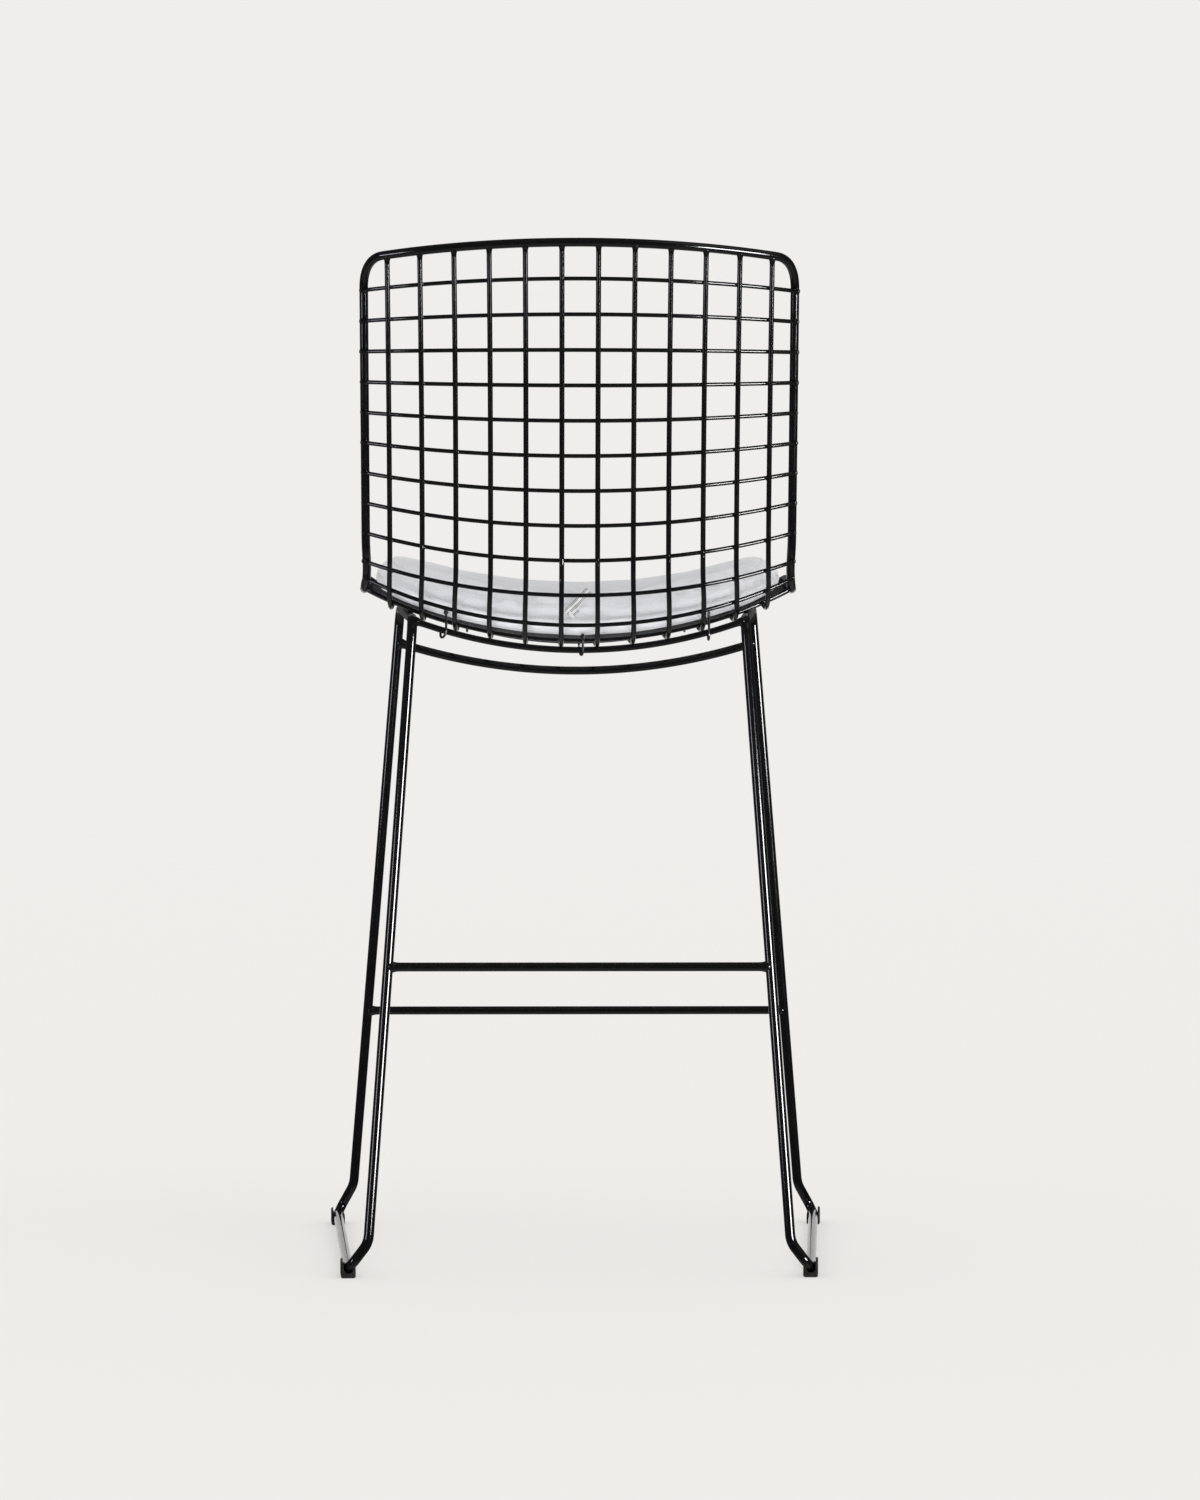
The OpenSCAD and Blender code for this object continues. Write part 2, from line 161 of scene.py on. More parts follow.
class Row:
    """One row of the shell: an arc through its middle and its two ends. Rows may be fractional."""

    def __init__(self, i):
        self.mid = MIDDLE.at(row_s(i, CROSS_PITCH, CROSS_PITCH, MIDDLE.length))
        edge = EDGE.at(row_s(i, EDGE_PITCH, EDGE_BEND_PITCH, EDGE.length))
        half_w = mix(BACK_W, FRONT_W, ease((i - BACK_ROWS) / (FRONT_ROW - BACK_ROWS))) / 2
        sag = np.linalg.norm(edge - self.mid)
        self.dir = unit((0, *(edge - self.mid)))
        self.r = (half_w**2 + sag**2) / (2 * sag)
        self.angle = math.asin(half_w / self.r)
        self.half_len = self.r * self.angle

    def at(self, u):
        a = u * self.angle
        start = np.array((self.r * math.sin(a), *self.mid))
        return start + self.dir * self.r * (1 - math.cos(a)) + (0, SHIFT_Y, 0)


def skin(i, u):
    return Row(i).at(u)


def skin_normal(i, u):
    e = 0.02
    return unit(np.cross(skin(i + e, u) - skin(i - e, u), skin(i, u + e) - skin(i, u - e)))


def on_skin(i, u, off):
    """A point off mm above the shell's surface, towards the sitter."""
    return skin(i, u) + off * skin_normal(i, u)


def upright_u(k):
    return (k - (UPRIGHTS + 1) / 2) * UPRIGHT_PITCH / Row(BACK_ROWS / 2).half_len


# ---------------------------------------------------------------- meshes

def new_piece(name, verts, faces, material, slot, replaces=()):
    """A mesh object from points in mm, riding on the stool's one body."""
    mesh = bpy.data.meshes.new(name)
    mesh.from_pydata([tuple(v) for v in np.asarray(verts) * MM], [], faces)
    mesh.polygons.foreach_set("use_smooth", [True] * len(mesh.polygons))
    piece = bpy.data.objects.new(name, mesh)
    bpy.context.scene.collection.objects.link(piece)
    return dress(piece, material, replaces)


def dress(piece, material, replaces=()):
    piece.data.materials.clear()
    piece.data.materials.append(material)
    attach(piece, "root")
    if replaces:
        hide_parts(*replaces)
    return piece


def merge(parts):
    """Several (verts, faces) as one."""
    verts, faces = [], []
    for part_verts, part_faces in parts:
        start = len(verts)
        verts.extend(part_verts)
        faces.extend(tuple(start + v for v in face) for face in part_faces)
    return verts, faces


def sweep(points, radii, sides, closed=False):
    """A round tube along points, with a radius at each. Its frames turn as little as they can."""
    pts = np.asarray(points, float)
    n = len(pts)
    radii = np.broadcast_to(radii, n)
    if closed:
        tangents = np.roll(pts, -1, 0) - np.roll(pts, 1, 0)
    else:
        tangents = np.gradient(pts, axis=0)
    tangents /= np.linalg.norm(tangents, axis=1)[:, None]
    normal = unit(np.cross(tangents[0], (0.3, 0.9, 0.1) if abs(tangents[0][1]) < 0.9 else (1, 0, 0)))
    normals = [normal]
    for t in tangents[1:]:
        normal = unit(normal - (normal @ t) * t)
        normals.append(normal)
    twist = np.zeros(n)
    if closed:  # the turn left over between the last frame and the first is shared out
        back = unit(normals[-1] - (normals[-1] @ tangents[0]) * tangents[0])
        left = math.atan2(np.cross(back, normals[0]) @ tangents[0], back @ normals[0])
        twist = np.arange(n) / n * left
    verts = []
    for p, t, m, r, w in zip(pts, tangents, normals, radii, twist):
        b = np.cross(t, m)
        for j in range(sides):
            a = 2 * math.pi * j / sides + w
            verts.append(p + r * (math.cos(a) * m + math.sin(a) * b))
    faces = []
    for k in range(n if closed else n - 1):
        k2 = (k + 1) % n
        for j in range(sides):
            j2 = (j + 1) % sides
            faces.append((k * sides + j, k * sides + j2, k2 * sides + j2, k2 * sides + j))
    if not closed:
        faces.append(tuple(reversed(range(sides))))
        faces.append(tuple(range((n - 1) * sides, n * sides)))
    return verts, faces


def domed(points, r, sides, steps=4, depth=0.8):
    """A rod along points whose two cut ends are rounded over."""
    pts = [np.asarray(p, float) for p in points]
    first, last = unit(pts[0] - pts[1]), unit(pts[-1] - pts[-2])
    angles = [math.pi / 2 * (k + 1) / steps for k in range(steps)]
    start = [pts[0] + first * r * depth * (math.sin(a) - 1) for a in reversed(angles)]
    end = [pts[-1] + last * r * depth * (math.sin(a) - 1) for a in angles]
    caps = [max(math.cos(a), 0.05) * r for a in angles]
    keep = [p for p in pts[1:-1] if np.linalg.norm(p - pts[0]) > r and np.linalg.norm(p - pts[-1]) > r]
    path = start + keep + end
    radii = list(reversed(caps)) + [r] * len(keep) + caps
    return sweep(path, radii, sides)


def flared(points, r, sides, hidden, grow=1.3, length=3.2):
    """A rod along points that swells into a weld at each end, outside the rod that hides its last stretch."""
    pts = np.asarray(points, float)
    steps = np.linalg.norm(np.diff(pts, axis=0), axis=1)
    s = np.concatenate([[0], np.cumsum(steps)])
    near_ends = [hidden + length * k / 5 for k in range(-4, 13)]
    between = s[(s > 24) & (s < s[-1] - 24)]
    stations = sorted({0.0, s[-1], *near_ends, *(s[-1] - d for d in near_ends), *between})
    path = [[np.interp(d, s, pts[:, axis]) for axis in range(3)] for d in stations]
    out = [max(0.0, min(d, s[-1] - d) - hidden + 1) for d in stations]
    radii = [r + grow * math.exp(-((d / length) ** 1.5)) for d in out]
    return sweep(path, radii, sides)


def rounded_path(corners, bends, closed=False, step=9.0):
    """A path through corners that are rounded to the radii in bends."""
    corners = [np.array(c, float) for c in corners]
    n = len(corners)
    path = []
    for k in range(n):
        b = corners[k]
        if not closed and k in (0, n - 1):
            path.append(b)
            continue
        a, c, r = corners[k - 1], corners[(k + 1) % n], bends[k]
        u, v = unit(b - a), unit(c - b)
        turn = math.acos(np.clip(u @ v, -1, 1))
        side = unit(v - (u @ v) * u)
        cut = r * math.tan(turn / 2)
        count = max(6, math.ceil(math.degrees(turn) / 5))
        for q in range(count + 1):
            angle = turn * q / count
            path.append(b - u * cut + u * r * math.sin(angle) + side * r * (1 - math.cos(angle)))
    spaced = []
    for p, q in zip(path, path[1:] + (path[:1] if closed else [])):
        parts = max(1, round(np.linalg.norm(q - p) / step))
        spaced.extend(mix(p, q, k / parts) for k in range(parts))
    return spaced if closed else spaced + [path[-1]]


def bead(at, axes, radii, around=10, rings=6):
    """A small ellipsoid, such as a weld, on three axes."""
    axes = np.array(axes)
    verts = [at + axes[2] * radii[2]]
    for k in range(1, rings):
        polar = math.pi * k / rings
        for j in range(around):
            turn = 2 * math.pi * j / around
            local = (
                math.sin(polar) * math.cos(turn) * radii[0],
                math.sin(polar) * math.sin(turn) * radii[1],
                math.cos(polar) * radii[2],
            )
            verts.append(at + np.array(local) @ axes)
    verts.append(at - axes[2] * radii[2])
    last = len(verts) - 1
    faces = []
    for j in range(around):
        j2 = (j + 1) % around
        faces.append((0, 1 + j, 1 + j2))
        for k in range(rings - 2):
            p = 1 + k * around
            faces.append((p + j, p + around + j, p + around + j2, p + j2))
        p = 1 + (rings - 2) * around
        faces.append((p + j, last, p + j2))
    return verts, faces


# ---------------------------------------------------------------- materials

def node(tree, kind, inputs=None, **props):
    """A shader node. An input is a socket to link, or the value to set."""
    made = tree.nodes.new(kind)
    for key, value in props.items():
        setattr(made, key, value)
    for key, value in (inputs or {}).items():
        if isinstance(value, bpy.types.NodeSocket):
            tree.links.new(value, made.inputs[key])
        else:
            made.inputs[key].default_value = value
    return made


def maths(tree, operation, a, b=0.0, c=0.0):
    return node(tree, "ShaderNodeMath", {0: a, 1: b, 2: c}, operation=operation).outputs[0]


def ramp(tree, factor, low, high, to_low=0.0, to_high=1.0):
    """factor from low..high to to_low..to_high, held at both ends."""
    inputs = {"Value": factor, "From Min": low, "From Max": high, "To Min": to_low, "To Max": to_high}
    return node(tree, "ShaderNodeMapRange", inputs).outputs[0]


def mix_colour(tree, factor, a, b):
    made = node(tree, "ShaderNodeMix", data_type="RGBA")
    for socket, value in ((made.inputs[0], factor), (made.inputs[6], a), (made.inputs[7], b)):
        if isinstance(value, bpy.types.NodeSocket):
            tree.links.new(value, socket)
        else:
            socket.default_value = value
    return made.outputs[2]


def noise_at(tree, where, scale, detail=2.0, roughness=0.5):
    inputs = {"Vector": where, "Scale": scale, "Detail": detail, "Roughness": roughness}
    return node(tree, "ShaderNodeTexNoise", inputs).outputs["Fac"]


def start_material(name):
    material = bpy.data.materials.new(name)
    material.use_nodes = True
    tree = material.node_tree
    tree.nodes.clear()
    where = node(tree, "ShaderNodeTexCoord").outputs["Object"]
    return material, tree, where


def end_material(material, tree, inputs, height, strength, distance):
    """The surface shader, with a bump from height."""
    bump = node(tree, "ShaderNodeBump", {"Height": height, "Strength": strength, "Distance": distance})
    shader = node(tree, "ShaderNodeBsdfPrincipled", {**inputs, "Normal": bump.outputs[0]})
    node(tree, "ShaderNodeOutputMaterial", {"Surface": shader.outputs[0]})
    return material


def make_enamel():
    """Glossy black enamel: a faint orange peel, and patches where hands and shoes have dulled it."""
    material, tree, where = start_material("black_enamel")
    peel = noise_at(tree, where, 520, 3)
    cloud = noise_at(tree, where, 14, 4, 0.6)
    specks = noise_at(tree, where, 1500, 1)
    fine = noise_at(tree, where, 160, 4, 0.65)
    height = node(tree, "ShaderNodeSeparateXYZ", {0: where}).outputs["Z"]
    low = ramp(tree, height, 0.02, 0.005)  # the runners pick up dust near the floor
    dusty = maths(tree, "MULTIPLY", maths(tree, "ADD", low, 0.12), ramp(tree, fine, 0.5, 0.78))
    black = mix_colour(tree, cloud, (0.0035, 0.0035, 0.0042, 1), (0.0065, 0.0065, 0.007, 1))
    colour = mix_colour(tree, maths(tree, "MULTIPLY", dusty, 0.22), black, (0.11, 0.105, 0.1, 1))
    dull = ramp(tree, cloud, 0.35, 0.75, 0.07, 0.13)
    rough = maths(tree, "ADD", dull, maths(tree, "MULTIPLY", dusty, 0.2))
    rough = maths(tree, "ADD", rough, ramp(tree, specks, 0.66, 0.75, 0.0, 0.08))
    inputs = {
        "Base Color": colour,
        "Roughness": rough,
        "IOR": 1.36,
    }
    return end_material(material, tree, inputs, peel, 0.05, 0.0004)


def make_plastic():
    """Moulded black plastic: a fine spark texture and scuffs low down."""
    material, tree, where = start_material("glide_plastic")
    grain = noise_at(tree, where, 2600, 2)
    scuff = noise_at(tree, where, 240, 5, 0.7)
    height = node(tree, "ShaderNodeSeparateXYZ", {0: where}).outputs["Z"]
    worn = maths(tree, "MULTIPLY", ramp(tree, height, 0.004, 0.0), ramp(tree, scuff, 0.45, 0.7))
    colour = mix_colour(tree, scuff, (0.005, 0.005, 0.0055, 1), (0.01, 0.01, 0.0105, 1))
    colour = mix_colour(tree, maths(tree, "MULTIPLY", worn, 0.5), colour, (0.09, 0.088, 0.085, 1))
    rough = maths(tree, "ADD", ramp(tree, scuff, 0.3, 0.7, 0.36, 0.5), maths(tree, "MULTIPLY", worn, 0.2))
    inputs = {"Base Color": colour, "Roughness": rough, "IOR": 1.3}
    return end_material(material, tree, inputs, grain, 0.35, 0.0002)


def weave_group():
    """A plain weave over two coordinates counted in threads: height, and whether the warp is on top."""
    tree = bpy.data.node_groups.new("plain_weave", "ShaderNodeTree")
    for name in ("Across", "Along"):
        tree.interface.new_socket(name, in_out="INPUT", socket_type="NodeSocketFloat")
    for name in ("Height", "Warp"):
        tree.interface.new_socket(name, in_out="OUTPUT", socket_type="NodeSocketFloat")
    given = tree.nodes.new("NodeGroupInput")
    across, along = given.outputs[0], given.outputs[1]

    def thread(x):  # round section of one thread
        return maths(tree, "ABSOLUTE", maths(tree, "SINE", maths(tree, "MULTIPLY", x, math.pi)))

    def lift(x, shift):  # how a thread rises and dips along its length
        wave = maths(tree, "SINE", maths(tree, "MULTIPLY", maths(tree, "ADD", x, shift), math.pi))
        return maths(tree, "MULTIPLY_ADD", wave, 0.5, 0.5)

    odd_across = maths(tree, "FLOORED_MODULO", maths(tree, "FLOOR", across), 2.0)
    odd_along = maths(tree, "FLOORED_MODULO", maths(tree, "FLOOR", along), 2.0)
    warp = maths(tree, "MULTIPLY", thread(across), lift(along, odd_across))
    weft = maths(tree, "MULTIPLY", thread(along), lift(across, maths(tree, "SUBTRACT", 1.0, odd_along)))
    out = tree.nodes.new("NodeGroupOutput")
    tree.links.new(maths(tree, "MAXIMUM", warp, weft), out.inputs[0])
    tree.links.new(maths(tree, "GREATER_THAN", warp, weft), out.inputs[1])
    return tree


def weave_over(tree, where, pitch):
    """The weave laid on the faces of a solid by which way each faces, with threads pitch metres apart."""
    spread = node(tree, "ShaderNodeVectorMath", {0: where, "Scale": 1 / pitch}, operation="SCALE").outputs[0]
    wobble = node(tree, "ShaderNodeTexNoise", {"Vector": where, "Scale": 60.0, "Detail": 2.0})
    bent = node(
        tree, "ShaderNodeVectorMath",
        {0: wobble.outputs["Color"], 1: (1.6, 1.6, 1.6), 2: spread}, operation="MULTIPLY_ADD",
    ).outputs[0]
    x, y, z = node(tree, "ShaderNodeSeparateXYZ", {0: bent}).outputs
    facing = node(tree, "ShaderNodeNewGeometry").outputs["Normal"]
    towards = [maths(tree, "ABSOLUTE", c) for c in node(tree, "ShaderNodeSeparateXYZ", {0: facing}).outputs]
    group = weave_group()
    weaves = []
    for a, b in ((x, y), (x, z), (y, z)):
        made = node(tree, "ShaderNodeGroup", node_tree=group)
        tree.links.new(a, made.inputs[0])
        tree.links.new(b, made.inputs[1])
        weaves.append(made.outputs)
    top = maths(tree, "GREATER_THAN", towards[2], 0.6)
    rear = maths(tree, "GREATER_THAN", towards[1], towards[0])
    picked = []
    for k in range(2):
        side = node(tree, "ShaderNodeMix", {0: rear, 2: weaves[2][k], 3: weaves[1][k]}).outputs[0]
        picked.append(node(tree, "ShaderNodeMix", {0: top, 2: side, 3: weaves[0][k]}).outputs[0])
    return picked


def make_cloth(name, light, dark, pitch):
    """A pale woven cloth whose warp and weft differ a little, with slubs, a soft unevenness and painted shade
    where the weave dips between threads.
    """
    material, tree, where = start_material(name)
    height, warp = weave_over(tree, where, pitch)
    cloud = noise_at(tree, where, 26, 4, 0.6)
    slub = noise_at(tree, where, 420, 2, 0.6)
    colour = mix_colour(tree, maths(tree, "MULTIPLY", cloud, 0.5), light, dark)
    colour = mix_colour(tree, maths(tree, "MULTIPLY", warp, 0.3), colour, dark)
    # painted shade: the colour darkens where the weave lies low between the threads
    painted_pit_shade = ramp(tree, height, 0.55, 0.1, 0.0, 0.32)
    colour = mix_colour(tree, painted_pit_shade, colour, tuple(0.55 * c for c in dark[:3]) + (1,))
    colour = mix_colour(tree, ramp(tree, slub, 0.6, 0.72, 0.0, 0.25), colour, (0.95, 0.95, 0.95, 1))
    bumps = maths(tree, "MULTIPLY_ADD", slub, 0.5, height)
    inputs = {
        "Base Color": colour,
        "Roughness": ramp(tree, slub, 0.3, 0.7, 0.72, 0.88),
        "Sheen Weight": 0.25,
        "Sheen Roughness": 0.4,
    }
    return end_material(material, tree, inputs, bumps, 0.5, 0.0005)


def make_thread(name, colour):
    material, tree, where = start_material(name)
    wave = {"Vector": where, "Scale": 700.0, "Distortion": 1.5}
    twist = node(tree, "ShaderNodeTexWave", wave, bands_direction="DIAGONAL").outputs["Fac"]
    dark = tuple(0.6 * c for c in colour[:3]) + (1,)
    shade = mix_colour(tree, maths(tree, "MULTIPLY", twist, 0.35), colour, dark)
    inputs = {"Base Color": shade, "Roughness": ramp(tree, twist, 0, 1, 0.5, 0.7), "Sheen Weight": 0.2}
    return end_material(material, tree, inputs, twist, 0.5, 0.0002)


def make_steel():
    """Drawn spring wire: fine lines and small dark marks."""
    material, tree, where = start_material("hook_steel")
    lines = noise_at(tree, where, 1800, 3)
    marks = noise_at(tree, where, 300, 4, 0.7)
    colour = mix_colour(tree, ramp(tree, marks, 0.55, 0.75), (0.1, 0.1, 0.103, 1), (0.03, 0.03, 0.032, 1))
    inputs = {"Base Color": colour, "Metallic": 1.0, "Roughness": ramp(tree, lines, 0.3, 0.7, 0.26, 0.42)}
    return end_material(material, tree, inputs, lines, 0.3, 0.0001)


ENAMEL = make_enamel()
PLASTIC = make_plastic()
CLOTH = make_cloth("pad_cloth", (0.86, 0.87, 0.91, 1), (0.78, 0.79, 0.84, 1), 0.0009)
TAPE = make_cloth("strap_tape", (0.97, 0.97, 0.972, 1), (0.92, 0.92, 0.925, 1), 0.0006)
THREAD = make_thread("pad_thread", (0.74, 0.745, 0.76, 1))
STRAP_THREAD = make_thread("strap_thread", (0.15, 0.15, 0.16, 1))
STEEL = make_steel()


# ---------------------------------------------------------------- the shell's rods

def make_rim():
    """The rod around the shell's edge, as [row, across, offset] from the top's middle to the front's."""
    end_off, back_off, seat_off = -UPRIGHT_R, 2 * CROSS_R + RIM_R - WELD, 1
    top_u = 1 - TOP_CORNER_R / Row(0).half_len
    front_u = 1 - FRONT_CORNER_R / Row(FRONT_ROW).half_len
    top_i = TOP_CORNER_R / EDGE_PITCH
    seat_s = row_s(BACK_ROWS + BEND_ROWS, EDGE_PITCH, EDGE_BEND_PITCH, EDGE.length)
    front_i = FRONT_CORNER_R / ((EDGE.length - seat_s) / (SEAT_ROWS + 1))
    steps, side_steps, end_steps = 16, 110, 20
    half = [(0, top_u * k / end_steps, end_off) for k in range(end_steps + 1)]
    for k in range(1, steps + 1):
        a = math.pi / 2 * k / steps
        across = mix(1, top_u, 1 - math.sin(a))
        half.append((top_i * (1 - math.cos(a)), across, mix(end_off, back_off, ease(k / steps))))
    for k in range(1, side_steps + 1):
        i = mix(top_i, FRONT_ROW - front_i, k / (side_steps + 1))
        half.append((i, 1, mix(back_off, seat_off, ease((i - BACK_ROWS) / 4))))
    for k in range(steps + 1):
        a = math.pi / 2 * k / steps
        across = mix(1, front_u, 1 - math.cos(a))
        off = mix(seat_off, end_off, ease(k / steps))
        half.append((FRONT_ROW - front_i * (1 - math.sin(a)), across, off))
    half += [(FRONT_ROW, front_u * k / end_steps, end_off) for k in range(end_steps - 1, -1, -1)]
    loop = half + [(i, -u, off) for i, u, off in reversed(half[1:-1])]
    verts, faces = sweep([on_skin(*p) for p in loop], RIM_R, 24, closed=True)
    new_piece("rim_rod", verts, faces, ENAMEL, "enamel", ["shell_rim"])


def make_uprights():
    stations = sorted({*np.arange(0, FRONT_ROW + 0.01, 0.25), *np.arange(8.5, 14, 0.1)})
    for k in range(1, UPRIGHTS + 1):
        path = [on_skin(i, upright_u(k), -UPRIGHT_R) for i in stations]
        verts, faces = flared(path, UPRIGHT_R, 16, RIM_R, grow=1.0, length=2.0)
        new_piece(f"upright_rod_{k:02d}", verts, faces, ENAMEL, "enamel", [f"upright_wire_{k:02d}"])


def cross_wire_path(k, count=56):
    row = Row(k)
    r = row.r - CROSS_R / (row.dir @ skin_normal(k, 0))
    centre = np.array((0, *row.mid)) + row.dir * row.r + (0, SHIFT_Y, 0)
    angles = np.linspace(-row.angle, row.angle, count)
    return [centre - row.dir * r * math.cos(a) + np.array((r * math.sin(a), 0, 0)) for a in angles]


def make_cross_wires():
    for k in range(1, ROWS + 1):
        verts, faces = domed(cross_wire_path(k), CROSS_R, 14)
        new_piece(f"cross_rod_{k:02d}", verts, faces, ENAMEL, "enamel", [f"cross_wire_{k:02d}"])


def skin_axes(i, u):
    """Across, along and out of the shell at a place on it."""
    n = skin_normal(i, u)
    across = unit(skin(i, u + 0.02) - skin(i, u - 0.02))
    return across, np.cross(n, across), n


def make_welds():
    """The small swelling where two wires are welded, at every crossing and at every wire end."""
    rng = random.Random(4)
    crossings, ends = [], []
    for i in range(1, ROWS + 1):
        for k in range(1, UPRIGHTS + 1):
            u = upright_u(k)
            size = rng.uniform(0.92, 1.1)
            radii = (2.7 * size, 2.5 * size, 1.3)
            crossings.append(bead(on_skin(i, u, rng.uniform(-0.2, 0.1)), skin_axes(i, u), radii))
        path = cross_wire_path(i)
        for end, before in ((path[0], path[1]), (path[-1], path[-2])):
            out = unit(end - before)
            side = 1 if end[0] > 0 else -1
            _, along, n = skin_axes(i, side * 0.99)
            size = rng.uniform(0.9, 1.12)
            ends.append(bead(end - out * 0.6, (out, along, n), (2.3 * size, 2.7 * size, 2.2 * size), 14, 9))
    for name, parts in (("crossing_welds", crossings), ("wire_end_welds", ends)):
        new_piece(name, *merge(parts), ENAMEL, "enamel")


# ---------------------------------------------------------------- the base

def y_shifted(points):
    return [np.asarray(p, float) + (0, SHIFT_Y, 0) for p in points]


def mirrored(points):
    return [np.asarray(p, float) * (-1, 1, 1) for p in points]


REAR_TOP = (164, 150, SEAT_Z + 25)
REAR_KICK = (REAR_TRACK / 2 - 19, RUNNER_LEN / 2 - 5, 34)
REAR_FOOT = (REAR_TRACK / 2, RUNNER_LEN / 2, RUNNER_Z)
FRONT_FOOT = (FRONT_TRACK / 2, -RUNNER_LEN / 2, RUNNER_Z)
FRONT_KICK = (FRONT_TRACK / 2 - 18, 9 - RUNNER_LEN / 2, 42)
FRONT_TOP = (188, -150, SEAT_Z + 47)
FRAME_PATH = y_shifted([REAR_TOP, REAR_KICK, REAR_FOOT, FRONT_FOOT, FRONT_KICK, FRONT_TOP])
FRAME_BENDS = (18, 25, 12, 12, 30, 18)


def make_side_frames():
    path = rounded_path(FRAME_PATH, FRAME_BENDS, closed=True)
    for side, points in (("left", path), ("right", mirrored(path))):
        verts, faces = sweep(points, LEG_R, 28, closed=True)
        new_piece(f"{side}_frame_rod", verts, faces, ENAMEL, "enamel", [f"{side}_side_frame"])


def on_leg(top, foot, z):
    top, foot = np.array(top, float), np.array(foot, float)
    return mix(top, foot, (top[2] - z) / (top[2] - foot[2]))


def leg_bar(name, node_name, top, foot, z):
    end = on_leg(top, foot, z) + (0, SHIFT_Y, 0)
    count = 48
    path = [end * (mix(-1, 1, k / count), 1, 1) for k in range(count + 1)]
    verts, faces = flared(path, BAR_R, 24, LEG_R)
    new_piece(name, verts, faces, ENAMEL, "enamel", [node_name])


def bowed(end, mid_z, y, count=64):
    """A bow down between [x, z] and its mirror image, in the plane of one y."""
    sag = end[1] - mid_z
    r = (end[0] ** 2 + sag**2) / (2 * sag)
    half = math.asin(end[0] / r)
    angles = np.linspace(-half, half, count)
    return y_shifted([(r * math.sin(a), y, mid_z + r * (1 - math.cos(a))) for a in angles])


REAR_BEARER_END = (REAR_TOP[0], SEAT_Z + 24)
REAR_BEARER_MID = SEAT_Z - 5.2
FRONT_BEARER_Z = SEAT_Z + 11
FRONT_BEARER_END = on_leg(FRONT_TOP, FRONT_KICK, FRONT_BEARER_Z)
FRONT_BEARER_MID = SEAT_Z - 19


def make_bars():
    rear = bowed(REAR_BEARER_END, REAR_BEARER_MID, REAR_BEARER_Y)
    front = bowed((FRONT_BEARER_END[0], FRONT_BEARER_Z), FRONT_BEARER_MID, FRONT_BEARER_END[1])
    for name, path, r in (("rear_bearer", rear, BEARER_R), ("front_bearer", front, BAR_R)):
        verts, faces = flared(path, r, 20, LEG_R)
        new_piece(f"{name}_rod", verts, faces, ENAMEL, "enamel", [name])
    leg_bar("rear_stretcher_rod", "rear_stretcher", REAR_TOP, REAR_KICK, STRETCHER_Z)
    leg_bar("footrest_rod", "footrest_bar", FRONT_TOP, FRONT_KICK, FOOTREST_Z)


def glide_section(outer_side):
    """The glide's section: a U with rounded lower corners, a groove for the rod and one taller wall."""
    half, round_r, groove_r = GLIDE_W / 2, 2, LEG_R + 0.05
    tall, short = RUNNER_Z + LEG_R + 1.5, RUNNER_Z + 1
    left_h, right_h = (tall, short) if outer_side < 0 else (short, tall)
    points = [(-half, left_h - 0.6), (-half + 0.6, left_h), (-groove_r, left_h)]
    for k in range(17):
        a = math.pi * (1 + k / 16)
        points.append((groove_r * math.cos(a), RUNNER_Z + groove_r * math.sin(a)))
    points += [(groove_r, right_h), (half - 0.6, right_h), (half, right_h - 0.6)]
    for centre, start in (((half - round_r, round_r), 0), ((-half + round_r, round_r), -math.pi / 2)):
        for k in range(6):
            a = start - math.pi / 2 * k / 5
            points.append((centre[0] + round_r * math.cos(a), centre[1] + round_r * math.sin(a)))
    return points


def make_glide(name, corner, other, mirror):
    along = unit((np.array(other) - corner) * (1, 1, 0))
    across = np.cross((0, 0, 1), along)
    start = np.array((corner[0], corner[1] + SHIFT_Y, 0)) + 2 * along
    section = glide_section(np.sign(across[0]))
    chamfer = 0.7
    verts = []
    for s, inset in ((0, chamfer), (chamfer, 0), (GLIDE_LEN - chamfer, 0), (GLIDE_LEN, chamfer)):
        for x, z in section:
            shrink = 1 - inset / (GLIDE_W / 2)
            height = inset * 0.6 + z * (1 - inset * 0.04)
            verts.append(start + along * s + across * x * shrink + np.array((0, 0, height)))
    n = len(section)
    faces = [
        (k * n + j, k * n + (j + 1) % n, (k + 1) * n + (j + 1) % n, (k + 1) * n + j)
        for k in range(3)
        for j in range(n)
    ]
    faces += [tuple(reversed(range(n))), tuple(range(3 * n, 4 * n))]
    if mirror:
        verts = mirrored(verts)
        faces = [tuple(reversed(face)) for face in faces]
    piece = new_piece(f"{name}_shoe", verts, faces, PLASTIC, "glide_plastic", [name])
    outward_normals(piece)
    bevel = piece.modifiers.new("edges", "BEVEL")
    bevel.width, bevel.segments = 0.35 * MM, 2
    bevel.limit_method, bevel.angle_limit = "ANGLE", math.radians(35)
    bevel.harden_normals = True


def outward_normals(piece):
    work = bmesh.new()
    work.from_mesh(piece.data)
    bmesh.ops.recalc_face_normals(work, faces=work.faces)
    work.to_mesh(piece.data)
    work.free()


def make_glides():
    for end, corner, other in (("rear", REAR_FOOT, FRONT_FOOT), ("front", FRONT_FOOT, REAR_FOOT)):
        for side in ("left", "right"):
            make_glide(f"{end}_{side}_glide", np.array(corner, float), other, side == "right")


# ---------------------------------------------------------------- the pad

PAD_MID_ROW = (PAD_REAR_ROW + PAD_FRONT_ROW) / 2
PAD_HALF_ROWS = (PAD_FRONT_ROW - PAD_REAR_ROW) / 2
PAD_REACH = 205  # mm from the pad's middle to its edge, near enough to turn an inset into a share
# Half of the pad's section as [share of the outline, share of the thickness]
PAD_BASE = [(0, 0), (0.4, 0), (0.75, 0), (0.93, 0), (0.985, 0.12), (1, 0.3)]
PAD_TOP = [(1, 0.55), (0.985, 0.8), (0.94, 0.95), (0.84, 1), (0.6, 1), (0.3, 1), (0, 1)]


